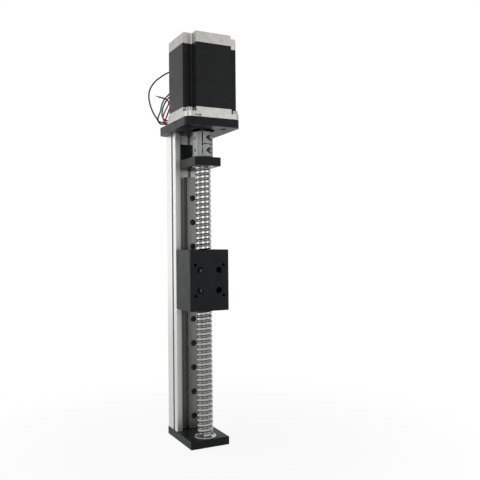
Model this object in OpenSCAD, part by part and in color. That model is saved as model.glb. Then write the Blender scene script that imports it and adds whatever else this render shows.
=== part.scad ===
// Ball screw linear module: a guided carriage on an extruded base, moved by a
// ball screw, with a flanged stepper motor on top.
// Millimetres. +Z runs up along the screw, the carriage's working face looks
// along -Y, and the origin is where the screw's axis meets the bottom face of
// the end plate.

/* [Base profile] */
// Length of the extruded base profile
profile_len = 304; // [260:1:500]
// Width of the front channel that the guide block runs in
channel_w = 28; // [27.8:0.1:34]
// Depth of the front channel
channel_d = 10.5; // [9:0.5:14]
// Thickness of the walls beside the channel
wall_t = 6; // [5.5:0.1:10]
// Thickness of the profile behind the channel floor
web_d = 14; // [13:0.5:20]
// Distance from the screw's axis back to the channel floor
screw_to_floor = 36; // [35:0.5:46]
// Opening of the T-slots
slot_open = 4; // [3.4:0.1:4.8]
// Lip thickness of the T-slots
slot_lip = 1.5; // [1.2:0.1:2]
// Inner width of the T-slots
slot_inner = 6.8; // [6.4:0.1:7.4]

/* [Guide rail] */
// Width of the guide rail
rail_w = 12; // [10:0.5:14]
// Height of the guide rail
rail_h = 8; // [7:0.5:9.5]
// Pitch of the rail's screw holes
rail_pitch = 25; // [20:1:40]
// Height of the first hole above the rail's lower end
rail_first = 13; // [8:1:20]
// Height of the guide block's face above the channel floor
guide_h = 13; // [12:0.5:15]
// Length of the guide block's steel body
guide_len = 32.4; // [26:0.2:40]

/* [Carriage] */
// Height of the carriage block along the screw
carriage_len = 60; // [56:1:90]
// Height of the carriage's lower face at rest
carriage_z = 133.5; // [20:0.5:200]
// Pitch of the threaded holes for the load
load_pitch = 30; // [28:1:32]
// Core diameter of the threaded holes for the load
load_hole_d = 3.3; // [2.5:0.1:4]
// Pitch of the screws that hold the guide block
guide_pitch = 20; // [18:1:22]

/* [Ball screw] */
// Outside diameter of the ball screw
screw_d = 16; // [12:0.5:20]
// Diameter of the turned journals
journal_d = 8; // [6:0.5:9]
// Wall of the ball nut round the screw
nut_wall = 4.7; // [4:0.1:6]
// Length of the ball nut with its flange
nut_len = 41; // [36:1:48]
// Outside diameter of the screw's bearings
bearing_od = 22; // [20:0.5:26]
// Width of the screw's bearings
bearing_w = 7; // [5:0.5:7.5]

/* [Plates and bearing block] */
// Thickness of the end plate
end_plate_t = 8; // [8:0.5:14]
// Thickness of the motor plate
motor_plate_t = 8; // [7:0.5:14]
// Thickness of the bearing block's arm
arm_t = 8.5; // [8.5:0.5:14]
// Height of the bearing block's foot
foot_len = 25; // [24:1:34]
// Distance from the profile's top down to the bearing block's underside
block_drop = 36; // [34:1:48]

/* [Coupling] */
// Outside diameter of the shaft coupling
coupling_d = 20; // [19:0.5:22]
// Length of the shaft coupling
coupling_len = 25; // [22:0.5:28]
// Direction that the coupling's clamp slit faces, turned from the front
coupling_turn = -25; // [-180:1:180]

/* [Motor] */
// Side of the motor's square flange
motor_w = 57; // [54:0.5:59]
// Distance of the motor's mounting holes from the edges of its flange
motor_inset = 4.93; // [4.8:0.01:5.6]
// Length of the motor's laminated stator
stator_len = 61.5; // [41:0.5:100]
// Diameter of the motor's pilot boss
pilot_d = 38.1; // [30:0.1:40]

/* [Hidden] */

// ---- clearances
seat = 0.02;          // radial, pieces pressed together
thread_gap = 0.05;    // radial, screw in its thread
side_gap = 0.2;       // pieces that sit in a channel or pocket
run_gap = 0.3;        // pieces that run past each other
screw_hole = 0.2;     // radial, screw in a plain hole
head_gap = 0.35;      // radial, screw head in its counterbore
head_sink = 0.2;      // depth of a sunk head below the surface
coupling_gap = 0.7;   // coupling above the bearing block's arm
edge = 0.5;           // broken edges of machined blocks
eps = 0.01;

// ---- base profile, from the screw's axis at y = 0 backwards
profile_w = channel_w + 2 * wall_t;
floor_y = screw_to_floor;
wall_y = floor_y - channel_d;
back_y = floor_y + web_d;
slot_depth = 3.9;
floor_slot_depth = 4.9;                     // the floor slot holds nuts
side_slot_y = wall_y + 8;
back_slot_x = 10;
port_x = 12.5;                              // large screw ports, in the web
port_y = floor_y + 5.6;
wall_port_x = channel_w / 2 + 2.6;          // small ports, in the walls
wall_port_y = wall_y + 2.3;
port_core_d = 4.2;
wall_core_d = 2.5;
port_screw_d = 5;
wall_screw_d = 3;
port_screw_len = 16;
wall_screw_len = 14;
port_thread_len = 16;
profile_z = end_plate_t;
profile_top = profile_z + profile_len;

// ---- end plate and motor plate
plate_side = 0.5;                           // overhang past the profile
end_plate_w = profile_w + 2 * plate_side;
end_front_wall = 2;
end_plate_y = -(bearing_od / 2 + end_front_wall);
motor_plate_top = profile_top + motor_plate_t;
motor_corner_r = 6.5;
plate_bore_d = coupling_d + 4;
pilot_len = 1.6;
small_pattern = 31;                         // holes for a smaller motor
small_screw_d = 3;

// ---- bearing block
block_z = profile_top - block_drop;
arm_top = block_z + arm_t;
block_w = channel_w - 2 * side_gap;
block_front_wall = 1.5;
arm_y = -(bearing_od / 2 + block_front_wall);
foot_y = wall_y - 1;
block_screw_d = 4;
block_screw_pitch = 7.6;
block_screw_len = 12;
block_nut_t = 2.6;
block_nut_end = 5;                          // from a screw to the nut's end
block_fillet_r = 2;
block_screw_z = block_z + foot_len - block_nut_end - block_screw_pitch;

// ---- screw and bearings
shoulder_d = journal_d + 3;
bearing_proud = 0.6;                        // lower bearing above the plate
relief = 0.5;                               // behind turning faces
lower_bearing_z = end_plate_t - bearing_w + bearing_proud;
upper_bearing_z = block_z;
coupling_z = arm_top + coupling_gap;
spacer_len = coupling_z - upper_bearing_z - bearing_w;
coupling_mid = coupling_z + coupling_len / 2;
shaft_gap = 1;
screw_bearing = [journal_d, bearing_od, bearing_w];

// ---- guide
rail_z = end_plate_t + 0.5;
rail_top = block_z - 7.5;
rail_len = rail_top - rail_z;
rail_count = floor((rail_len - rail_first - 6) / rail_pitch) + 1;
rail_y = floor_y - rail_h;
rail_head_depth = 4.5;
rail_screw_d = 3;
rail_screw_len = 8;
rail_nut_t = 2;
rail_nut_len = 6;
guide_side = 0.5;
guide_w = channel_w - 2 * guide_side;
guide_y = floor_y - guide_h;
guide_under = 3;                            // block's underside above floor
cap_len = 5.5;
cap_screw_d = 2;
seal_len = 1;
guide_ball_d = 2.4;
guide_groove_r = guide_ball_d / 2 + 0.1;
guide_ball_x = rail_w / 2 + 0.55;
guide_ball_y = floor_y - rail_h * 0.62;
guide_ball_pitch = 2.6;

// ---- carriage
carriage_mid = carriage_z + carriage_len / 2;
nut_bore_d = screw_d + 2 * run_gap;
nut_body_d = nut_bore_d + 2 * nut_wall;
nut_flange_t = 5;
nut_flange_d = nut_body_d + 12;
nut_flat = nut_body_d / 2;
nut_front_wall = 1.4;
nut_fit = 0.1;
nut_side_wall = 1.4;
carriage_w = max(profile_w + 1, nut_flange_d + 2 * (nut_fit + nut_side_wall));
carriage_y = -(nut_body_d / 2 + nut_fit + nut_front_wall);
nut_z = carriage_z + 0.5;
nut_screw_d = 3;
nut_screw_len = 8;
nut_screw_x = nut_body_d / 2 + 1.5;
nut_screw_y = 4.2;
access_d = 6.4;
guide_screw_d = 3;
guide_screw_len = 8;
guide_seat_y = guide_y - 4.5;
load_depth = 9;

// ---- motor
motor_z = motor_plate_top;
flange_t = 5;
flange_cap_t = 4.5;
stator_z = motor_z + flange_t + flange_cap_t;
stator_w = motor_w - 0.6;
rear_z = stator_z + stator_len;
rear_t = 10.5;
motor_top = rear_z + rear_t;
motor_pitch = motor_w - 2 * motor_inset;
notch_half = 5.2;                           // hollow from the screw's axis
notch_corner_r = 1.5;
air_gap = 0.3;
tie_wall = 3;                               // from a long screw's centre
chamber_len = 6;
tie_at = motor_pitch / 2 - notch_half - 2.2;
chamber_d = 2 * (tie_at * sqrt(2) - tie_wall);
coil_t = 4.4;
coil_in = chamber_d / 2 - coil_t - 1.2;     // inner face of the coils
coil_w = 2 * coil_in * tan(22.5) - 4;
rotor_d = 2 * (coil_in - 1.4 - air_gap);
motor_screw_d = 4;
motor_screw_len = 10;
tie_screw_d = 3;
motor_shaft_d = 8;
pry_slot = [7, 2.5, 2.4];                   // width, depth, height
pry_slot_x = -17;
motor_bearing = [motor_shaft_d, 22, 7];
motor_bearing_z = [motor_z + 2, rear_z + 0.5];
shaft_z = coupling_mid + shaft_gap / 2;
grommet_at = [-2, 59];                      // x, height above the plate
grommet_y = 30.5;                           // its outer face
grommet_size = [12, 8];                     // the window it sits in

// ---- leads: centre lines, from the top of the motor plate
lead_d = 1.6;
lead_sides = 8;
layer = 1.7;                                // height of one layer of the hank
hank_run = 24;                            // straight run of each fold
hank_r = 9;                               // outside radius of the folds
hank_at = [-8, 39.2];                     // centre of the left folds
hank_h = 5 * layer;
hank_lift = 0.55;
route_black = [[-6.5, 30.5, 59], [-6.5, 33, 59], [-7.8, 36.2, 59],
  [-11.5, 38.2, 59], [-16.5, 38.5, 58.6], [-21.5, 38.5, 57], [-26.5, 38.5, 54],
  [-31, 38.5, 50.5], [-35.2, 38.5, 47], [-38.7, 38.5, 42.5], [-41.3, 38.5, 38],
  [-42.6, 38.5, 33], [-42.6, 38.5, 27.5], [-41.6, 38.5, 22.5], [-39.8, 38.6, 17.4],
  [-37.2, 39, 12.6], [-33.8, 39.8, 8.4], [-31, 41.4, 4.9], [-27.4, 43.8, 4],
  [-23.4, 46.4, 4.8], [-18.2, 47.4, 4.8], [-13.2, 47.4, 4.8]];
route_green = [[-3.5, 30.5, 59], [-3.5, 33, 59], [-4.8, 36.2, 56.6],
  [-9, 37.6, 50], [-14.8, 38, 42.4], [-20.8, 38, 34.7], [-25.2, 38, 30],
  [-28.2, 38, 25], [-29.6, 38.4, 20.2], [-30.2, 39.2, 16], [-31.4, 40.6, 12.2],
  [-31.8, 42.6, 8.8], [-30, 44.8, 6.9], [-26, 46.6, 6.5], [-19.6, 47.4, 6.5],
  [-13.2, 47.4, 6.5]];
route_red = [[-0.5, 30.5, 59], [-0.5, 33, 59], [-1.4, 35.8, 56.5],
  [-3.2, 37, 51.5], [-6, 37.5, 46], [-9, 37.5, 40.5], [-12.5, 37.8, 35],
  [-16, 38, 29.5], [-19, 38, 23.5], [-21.4, 38, 17.5], [-23.4, 38.6, 11.8],
  [-24.4, 40.2, 7.4], [-22.8, 43, 3.9], [-18.4, 46.4, 3.1], [-13.2, 47.4, 3.1]];
route_red_end = [[-13.2, 31, 1.4], [-17.6, 31, 1.4], [-22, 31, 1.5],
  [-26, 31.4, 2.4], [-28.8, 32.4, 5], [-29.6, 33, 9], [-28.2, 33.2, 13.6],
  [-26, 33.2, 18], [-23.9, 33.2, 22], [-23.2, 33.2, 25], [-25.2, 33.2, 27.3],
  [-29, 33.2, 28.6], [-34.4, 33.2, 29.6]];
route_blue = [[2.5, 30.5, 59], [2.5, 32.8, 58.8], [1.8, 35.2, 55],
  [-2, 35.6, 48.5], [-7, 35.6, 43.2], [-12, 35.6, 39.2], [-17, 35.6, 35],
  [-21.7, 35.6, 30.8], [-25.4, 35.6, 26.3], [-28, 35.6, 21.3], [-29.2, 36.2, 16.5],
  [-28.8, 38.2, 12.5], [-27, 41, 10.2], [-24, 44.2, 9.2], [-18.6, 47, 8.3],
  [-13.2, 47.4, 8.2]];

// ================================================= shared shapes

// head diameter and socket size of a cap screw
function head_d(d) = 1.5 * d + 1;
function socket_af(d) = d == 3 ? 2.5 : d == 4 ? 3 : d == 5 ? 4 : 0.75 * d;

// socket-head cap screw, head underside at the origin, pointing down
module cap_screw(d, len) {
  hd = head_d(d);
  bevel = d * 0.12;
  difference() {
    rotate_extrude($fn = 48)
      polygon([[0, -len], [d / 2 - bevel, -len], [d / 2, -len + bevel],
        [d / 2, 0], [hd / 2, 0], [hd / 2, d - bevel],
        [hd / 2 - bevel, d], [0, d]]);
    translate([0, 0, d * 0.45])
      cylinder(d = socket_af(d) / cos(30), h = d, $fn = 6);
  }
}

// plain hole with a counterbore for a sunk cap screw, same place and way up
module screw_cut(d, len, head_len) {
  translate([0, 0, -len]) cylinder(d = d + 2 * screw_hole, h = len + eps, $fn = 48);
  cylinder(d = head_d(d) + 2 * head_gap, h = head_len, $fn = 48);
}

// turns a z-up piece so that its top looks to the front
module facing_front() { rotate([90, 0, 0]) children(); }

// four corners of a square pattern
module at_corners(pitch) {
  for (sx = [-1, 1], sy = [-1, 1])
    translate([sx * pitch / 2, sy * pitch / 2, 0]) children();
}

// rectangle with true round corners
module round_rect(x0, y0, x1, y1, r) {
  union() {
    translate([x0 + r, y0]) square([x1 - x0 - 2 * r, y1 - y0]);
    translate([x0, y0 + r]) square([x1 - x0, y1 - y0 - 2 * r]);
    for (x = [x0 + r, x1 - r], y = [y0 + r, y1 - r])
      translate([x, y]) circle(r = r, $fn = 48);
  }
}

// rectangle with broken corners
module bevel_rect(x0, y0, x1, y1, c) {
  polygon([[x0 + c, y0], [x1 - c, y0], [x1, y0 + c], [x1, y1 - c],
    [x1 - c, y1], [x0 + c, y1], [x0, y1 - c], [x0, y0 + c]]);
}

// machined block with every edge broken
module bevel_block(x0, y0, z0, x1, y1, z1, c) {
  intersection() {
    translate([0, 0, z0]) linear_extrude(z1 - z0) bevel_rect(x0, y0, x1, y1, c);
    translate([0, y1, 0]) rotate([90, 0, 0])
      linear_extrude(y1 - y0) bevel_rect(x0, z0, x1, z1, c);
    translate([x0, 0, 0]) rotate([90, 0, 90])
      linear_extrude(x1 - x0) bevel_rect(y0, z0, y1, z1, c);
  }
}

// T-slot outline, open towards -Y at the origin
module t_slot(depth) {
  union() {
    translate([-slot_open / 2, -1]) square([slot_open, slot_lip + 1 + eps]);
    translate([-slot_inner / 2, slot_lip]) square([slot_inner, depth - slot_lip]);
  }
}

// deep-groove bearing, b = [bore, outside diameter, width]
ring_t = 1.9;
function ball_circle(b) = (b[0] + b[1]) / 4;
function ball_size(b) = (b[1] - b[0]) * 0.28;

// one ring of it, its outline cut by the ball groove
module race(b, r0, r1) {
  rotate_extrude($fn = 96) difference() {
    bevel_rect(r0, 0, r1, b[2], 0.3);
    translate([ball_circle(b), b[2] / 2]) circle(d = ball_size(b) + 0.2, $fn = 48);
  }
}
module outer_ring(b) { race(b, b[1] / 2 - ring_t, b[1] / 2); }
module inner_ring(b) { race(b, b[0] / 2 + seat, b[0] / 2 + ring_t); }
module ball_ring(b) {
  for (i = [0 : 6]) rotate([0, 0, i * 360 / 7])
    translate([ball_circle(b), 0, b[2] / 2]) sphere(d = ball_size(b), $fn = 32);
}
module shield(b) {
  rotate_extrude($fn = 96)
    translate([b[0] / 2 + ring_t + 0.4, 0])
      square([(b[1] - b[0]) / 2 - 2 * ring_t - 0.45, 0.3]);
}

// ring of points round a route, square to its direction
function unit(v) = v / norm(v);
function heading(p, i) = unit(p[min(i + 1, len(p) - 1)] - p[max(i - 1, 0)]);
function side_of(t) = unit(cross(t, abs(t[2]) > 0.9 ? [0, 1, 0] : [0, 0, 1]));

// tube swept along a route; each ring's frame is carried on from the last
function carried(p, i) = i == 0 ? side_of(heading(p, 0))
  : let (s = carried(p, i - 1), t = heading(p, i)) unit(s - (s * t) * t);
module lead_tube(p) {
  n = len(p);
  rings = [for (i = [0 : n - 1])
    let (t = heading(p, i), s = carried(p, i), u = cross(t, s))
    for (k = [0 : lead_sides - 1])
      let (a = 360 * k / lead_sides)
      p[i] + lead_d / 2 * (cos(a) * s + sin(a) * u)];
  walls = [for (i = [0 : n - 2], k = [0 : lead_sides - 1])
    let (k2 = (k + 1) % lead_sides, a = i * lead_sides)
    [a + k, a + lead_sides + k, a + lead_sides + k2, a + k2]];
  ends = [[for (k = [0 : lead_sides - 1]) k],
    [for (k = [lead_sides - 1 : -1 : 0]) (n - 1) * lead_sides + k]];
  translate([0, 0, motor_plate_top])
    polyhedron(points = rings, faces = concat(walls, ends), convexity = 6);
}

// ================================================= base

module profile_section() {
  difference() {
    round_rect(-profile_w / 2, wall_y, profile_w / 2, back_y, 0.8);
    translate([-channel_w / 2, wall_y - 1]) square([channel_w, channel_d + 1]);
    translate([0, floor_y]) t_slot(floor_slot_depth);
    for (s = [-1, 1]) {
      translate([s * profile_w / 2, side_slot_y]) rotate(s * 90) t_slot(slot_depth);
      translate([s * back_slot_x, back_y]) rotate(180) t_slot(slot_depth);
      translate([s * port_x, port_y]) circle(d = port_core_d, $fn = 32);
      translate([s * wall_port_x, wall_port_y]) circle(d = wall_core_d, $fn = 32);
    }
  }
}

// places its children at the four profile ports, at a given height
module at_ports(z, large = true) {
  for (s = [-1, 1])
    translate([s * (large ? port_x : wall_port_x),
      large ? port_y : wall_port_y, z]) children();
}

module base_profile() {
  color("gainsboro")
  difference() {
    translate([0, 0, profile_z]) linear_extrude(profile_len) profile_section();
    for (z = [profile_z - eps, profile_top - port_thread_len]) {
      at_ports(z)
        cylinder(d = port_screw_d + 2 * thread_gap, h = port_thread_len + eps, $fn = 48);
      at_ports(z, false)
        cylinder(d = wall_screw_d + 2 * thread_gap, h = port_thread_len + eps, $fn = 48);
    }
  }
}

module rail_section() {
  difference() {
    bevel_rect(-rail_w / 2, rail_y, rail_w / 2, floor_y, 0.4);
    for (s = [-1, 1])
      translate([s * guide_ball_x, guide_ball_y]) circle(r = guide_groove_r, $fn = 48);
  }
}

// rail hole places, from the bottom up
module at_rail_holes() {
  for (i = [0 : rail_count - 1])
    translate([0, rail_y + rail_head_depth, rail_z + rail_first + i * rail_pitch])
      facing_front() children();
}

module guide_rail() {
  color("dimgray")
  difference() {
    translate([0, 0, rail_z]) linear_extrude(rail_len) rail_section();
    at_rail_holes() screw_cut(rail_screw_d, rail_h, rail_h);
  }
}

module rail_screws() {
  color("#1c1d1f") at_rail_holes() cap_screw(rail_screw_d, rail_screw_len);
}

// square nut on the inner side of a slot's lip, in the screw's place
module slot_nut(d, w, len, t, depth) {
  translate([0, 0, -depth - t]) difference() {
    translate([-w / 2, -len / 2, 0]) cube([w, len, t]);
    translate([0, 0, -1]) cylinder(d = d + 2 * thread_gap, h = t + 2, $fn = 48);
  }
}
nut_w = slot_inner - 0.8;
module rail_nuts() {
  color("silver") at_rail_holes()
    slot_nut(rail_screw_d, nut_w, rail_nut_len, rail_nut_t,
      rail_h - rail_head_depth + slot_lip);
}

module end_plate() {
  color("#2a2b2d")
  difference() {
    bevel_block(-end_plate_w / 2, end_plate_y, 0,
      end_plate_w / 2, back_y, end_plate_t, edge);
    translate([0, 0, lower_bearing_z])
      cylinder(d = bearing_od + 2 * seat, h = end_plate_t, $fn = 96);
    translate([0, 0, lower_bearing_z - relief])
      cylinder(d = bearing_od - 4, h = end_plate_t, $fn = 96);
    at_ports(port_screw_d + head_sink) rotate([180, 0, 0])
      screw_cut(port_screw_d, end_plate_t, end_plate_t);
    at_ports(wall_screw_d + head_sink, false) rotate([180, 0, 0])
      screw_cut(wall_screw_d, end_plate_t, end_plate_t);
  }
}

module end_plate_screws() {
  color("dimgray") {
    at_ports(port_screw_d + head_sink) rotate([180, 0, 0]) cap_screw(port_screw_d, port_screw_len);
    at_ports(wall_screw_d + head_sink, false) rotate([180, 0, 0]) cap_screw(wall_screw_d, wall_screw_len);
  }
}

// outline of the bearing block seen from its side: arm, foot and fillet
module block_side() {
  r = block_fillet_r;
  union() {
    polygon([[arm_y, block_z], [floor_y, block_z], [floor_y, block_z + foot_len],
      [foot_y, block_z + foot_len], [foot_y, arm_top], [arm_y, arm_top]]);
    difference() {
      translate([foot_y - r, arm_top - eps]) square([r + eps, r + eps]);
      translate([foot_y - r, arm_top + r]) circle(r = r, $fn = 32);
    }
  }
}

// the two screws that hold the bearing block, one above the other
module at_block_screws() {
  for (i = [0, 1])
    translate([0, foot_y + block_screw_d + head_sink, block_screw_z + i * block_screw_pitch])
      facing_front() children();
}

module bearing_block() {
  color("#26282a")
  difference() {
    translate([-block_w / 2, 0, 0]) rotate([90, 0, 90])
      linear_extrude(block_w) block_side();
    translate([0, 0, block_z - 1])
      cylinder(d = bearing_od + 2 * seat, h = bearing_w + 1, $fn = 96);
    translate([0, 0, block_z])
      cylinder(d = bearing_od - 4, h = arm_t + 1, $fn = 96);
    at_block_screws() screw_cut(block_screw_d, block_screw_len, 2 * block_screw_d);
  }
}

module bearing_block_screws() {
  color("dimgray") at_block_screws() cap_screw(block_screw_d, block_screw_len);
}

module bearing_block_nut() {
  depth = floor_y - foot_y - block_screw_d - head_sink + slot_lip;
  color("silver") difference() {
    translate([-nut_w / 2, floor_y + slot_lip, block_screw_z - block_nut_end])
      cube([nut_w, block_nut_t, block_screw_pitch + 2 * block_nut_end]);
    at_block_screws() translate([0, 0, -depth - 4])
      cylinder(d = block_screw_d + 2 * thread_gap, h = depth + 4, $fn = 48);
  }
}

module screw_bearing_outer_rings() {
  color("silver") for (z = [lower_bearing_z, upper_bearing_z])
    translate([0, 0, z]) outer_ring(screw_bearing);
}
module screw_bearing_balls() {
  color("gainsboro") for (z = [lower_bearing_z, upper_bearing_z])
    translate([0, 0, z]) ball_ring(screw_bearing);
}
module screw_bearing_shields() {
  color("gray") for (z = [lower_bearing_z, upper_bearing_z], f = [0.5, bearing_w - 0.8])
    translate([0, 0, z + f]) shield(screw_bearing);
}

module motor_plate() {
  color("#2a2b2d")
  difference() {
    translate([0, 0, profile_top]) linear_extrude(motor_plate_t)
      round_rect(-motor_w / 2, -motor_w / 2, motor_w / 2, back_y, motor_corner_r);
    translate([0, 0, profile_top - 1]) cylinder(d = plate_bore_d, h = motor_plate_t + 2, $fn = 96);
    translate([0, 0, motor_z - pilot_len - 0.4]) cylinder(d = pilot_d + 0.2, h = 3, $fn = 96);
    translate([0, 0, motor_z]) at_corners(motor_pitch)
      translate([0, 0, flange_t - motor_screw_len - 1.5])
        cylinder(d = motor_screw_d + 2 * thread_gap, h = motor_screw_len, $fn = 48);
    translate([0, 0, profile_top + small_screw_d + 0.4]) at_corners(small_pattern)
      rotate([180, 0, 0]) screw_cut(small_screw_d, motor_plate_t, motor_plate_t);
    at_ports(motor_z - port_screw_d - head_sink)
      screw_cut(port_screw_d, motor_plate_t, motor_plate_t);
    at_ports(motor_z - wall_screw_d - head_sink, false)
      screw_cut(wall_screw_d, motor_plate_t, motor_plate_t);
  }
}

module motor_plate_screws() {
  color("dimgray") {
    at_ports(motor_z - port_screw_d - head_sink) cap_screw(port_screw_d, port_screw_len);
    at_ports(motor_z - wall_screw_d - head_sink, false) cap_screw(wall_screw_d, wall_screw_len);
  }
}

// ================================================= motor

// square outline with a hollow at each corner for the mounting screws
module notched_square(w) {
  out = w / 2 - motor_pitch / 2 + 1;
  difference() {
    square(w, center = true);
    for (mx = [0, 1], my = [0, 1]) mirror([mx, 0]) mirror([0, my])
      translate([motor_pitch / 2, motor_pitch / 2])
        round_rect(-notch_half, -notch_half, out, out, notch_corner_r);
  }
}

module motor_flange() {
  h = flange_t + flange_cap_t;
  color("lightgray")
  difference() {
    union() {
      translate([0, 0, motor_z]) linear_extrude(flange_t)
        round_rect(-motor_w / 2, -motor_w / 2, motor_w / 2, motor_w / 2, motor_corner_r);
      translate([0, 0, motor_z + flange_t - eps]) linear_extrude(flange_cap_t + eps) notched_square(stator_w);
      translate([0, 0, motor_z - pilot_len]) cylinder(d = pilot_d, h = pilot_len + eps, $fn = 96);
    }
    translate([0, 0, motor_z - 5]) cylinder(d = motor_shaft_d + 4, h = 20, $fn = 64);
    translate([0, 0, motor_bearing_z[0]]) cylinder(d = motor_bearing[1] + 2 * seat, h = 20, $fn = 96);
    translate([0, 0, motor_z + h - 1.5]) cylinder(d = chamber_d, h = 3, $fn = 96);
    translate([0, 0, motor_z - eps]) at_corners(motor_pitch)
      cylinder(d = motor_screw_d + 0.5, h = flange_t + 1, $fn = 48);
    translate([0, 0, motor_z + 2]) at_corners(2 * tie_at)
      cylinder(d = tie_screw_d + 2 * thread_gap, h = h, $fn = 32);
    // pry slot in the lower front edge, beside one screw
    translate([pry_slot_x - pry_slot[0] / 2, -motor_w / 2 - 1, motor_z - eps])
      cube([pry_slot[0], pry_slot[1] + 1, pry_slot[2]]);
  }
}

module motor_stator() {
  gx = grommet_size[0] / 2;
  gz = grommet_size[1] / 2;
  window_y = 21;
  color("#2c2e30")
  difference() {
    translate([0, 0, stator_z]) linear_extrude(stator_len) notched_square(stator_w);
    translate([0, 0, stator_z - 1]) cylinder(d = rotor_d + 2 * air_gap, h = stator_len + 2, $fn = 96);
    for (z = [stator_z - 1, rear_z - chamber_len])
      translate([0, 0, z]) cylinder(d = chamber_d, h = chamber_len + 1, $fn = 96);
    translate([0, 0, stator_z - 1]) at_corners(2 * tie_at)
      cylinder(d = tie_screw_d + 2 * screw_hole, h = stator_len + 2, $fn = 32);
    // window for the leads, open to the windings above it
    translate([grommet_at[0] - gx, window_y, motor_z + grommet_at[1] - gz])
      cube([2 * gx, stator_w, 2 * gz]);
    translate([grommet_at[0] - 4, window_y - 4, motor_z + grommet_at[1] - gz])
      cube([8, 5, rear_z - chamber_len - motor_z - grommet_at[1] + gz + 1]);
  }
}

// the coils' end turns, eight at each end of the stator
module motor_windings() {
  color("peru")
  for (z = [stator_z + 0.3, rear_z - chamber_len + 0.2], i = [0 : 7])
    translate([0, 0, z]) rotate([0, 0, 22.5 + 45 * i])
      translate([coil_in, -coil_w / 2, 0])
        linear_extrude(chamber_len - 0.5) round_rect(0, 0, coil_t, coil_w, 1.5);
}

module motor_rear_cap() {
  color("lightgray")
  difference() {
    union() {
      translate([0, 0, rear_z]) linear_extrude(rear_t - 1) notched_square(stator_w);
      translate([0, 0, rear_z]) linear_extrude(rear_t) notched_square(stator_w - 2);
    }
    translate([0, 0, rear_z - 1])
      cylinder(d = motor_bearing[1] + 2 * seat, h = motor_bearing[2] + 1.5, $fn = 96);
    translate([0, 0, rear_z])
      cylinder(d = motor_bearing[1] - 4, h = motor_bearing[2] + 0.5 + relief, $fn = 96);
    translate([0, 0, rear_z - 1]) cylinder(d = chamber_d, h = 1.3, $fn = 96);
    translate([0, 0, motor_top - 0.8]) cylinder(d = 26, h = 2, $fn = 96);
    at_ties() screw_cut(tie_screw_d, rear_t, 2 * tie_screw_d);
  }
}

// the four long screws that hold the motor together
module at_ties() {
  translate([0, 0, motor_top - tie_screw_d - head_sink]) at_corners(2 * tie_at) children();
}
module motor_tie_screws() {
  color("silver") at_ties() cap_screw(tie_screw_d, stator_len + rear_t + 2.5);
}

module motor_screws() {
  color("silver") translate([0, 0, motor_z + flange_t]) at_corners(motor_pitch)
    cap_screw(motor_screw_d, motor_screw_len);
}

module motor_bearing_outer_rings() {
  color("silver") for (z = motor_bearing_z) translate([0, 0, z]) outer_ring(motor_bearing);
}
module motor_bearing_balls() {
  color("gainsboro") for (z = motor_bearing_z) translate([0, 0, z]) ball_ring(motor_bearing);
}

// ================================================= leads

module lead_grommet() {
  x = grommet_size[0] / 2 - side_gap;
  z = grommet_size[1] / 2 - side_gap;
  rim = 1.2;
  color("#1b1b1d")
  translate([grommet_at[0], grommet_y, motor_z + grommet_at[1]]) rotate([90, 0, 0]) {
    linear_extrude(8) round_rect(-x, -z, x, z, 1.2);
    linear_extrude(grommet_y - stator_w / 2 - 0.05)
      round_rect(-x - rim, -z - rim, x + rim, z + rim, 2);
  }
}

module lead_black() { color("#18191b") lead_tube(route_black); }
module lead_green() { color("#1e6b5c") lead_tube(route_green); }
module lead_red() { color("#b3352f") lead_tube(route_red); }
module lead_red_end() { color("#b3352f") lead_tube(route_red_end); }
module lead_blue() { color("#2c4f9e") lead_tube(route_blue); }

// the rest of the four leads, folded and tied
module lead_hank() {
  color("#3a3c40")
  translate([hank_at[0], hank_at[1], motor_plate_top + hank_lift]) linear_extrude(hank_h) union() {
    for (x = [0, hank_run]) translate([x, 0]) circle(r = hank_r, $fn = 64);
    translate([0, -hank_r]) square([hank_run, 2 * hank_r]);
  }
}

module lead_tie() {
  t = 0.45;
  g = 0.08;
  color("#141414")
  translate([hank_at[0] + hank_run / 2 - 1.3, hank_at[1], motor_plate_top + hank_lift])
    rotate([90, 0, 90]) linear_extrude(2.6) difference() {
      round_rect(-hank_r - g - t, -g - t, hank_r + g + t, hank_h + g + t, 0.8);
      translate([-hank_r - g, -g]) square([2 * (hank_r + g), hank_h + 2 * g]);
    }
}

// ================================================= turning parts

module ball_screw() {
  z0 = lower_bearing_z + 0.2;
  z1 = upper_bearing_z;
  z2 = lower_bearing_z + bearing_w;
  j = journal_d / 2;
  s = shoulder_d / 2;
  r = screw_d / 2;
  top = coupling_mid - shaft_gap / 2;
  color("silver")
  rotate_extrude($fn = 96)
    polygon([[0, z0], [j - 0.5, z0], [j, z0 + 0.5], [j, z2],
      [s, z2], [s, z2 + 1], [r - 1, z2 + 1], [r, z2 + 2], [r, z1 - 2], [r - 1, z1 - 1], [s, z1 - 1],
      [s, z1], [j, z1], [j, top - 0.5], [j - 0.5, top], [0, top]]);
}

module screw_bearing_inner_rings() {
  color("silver") for (z = [lower_bearing_z, upper_bearing_z]) translate([0, 0, z]) inner_ring(screw_bearing);
}

// sleeve between the upper bearing and the coupling
module screw_spacer() {
  color("silver") translate([0, 0, upper_bearing_z + bearing_w]) difference() {
    cylinder(d = shoulder_d, h = spacer_len, $fn = 64);
    translate([0, 0, -1]) cylinder(d = journal_d + 2 * seat, h = spacer_len + 2, $fn = 64);
  }
}

// clamp screws of the coupling, one in each half
clamp_screw_d = 3;
clamp_screw_len = 10;
clamp_y = -(max(journal_d, motor_shaft_d) / 2 + 2.2);
module at_clamps() {
  rotate([0, 0, coupling_turn])
    for (f = [0.25, 0.75])
      translate([3.8, clamp_y, coupling_z + f * coupling_len]) rotate([0, 90, 0]) children();
}

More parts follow.
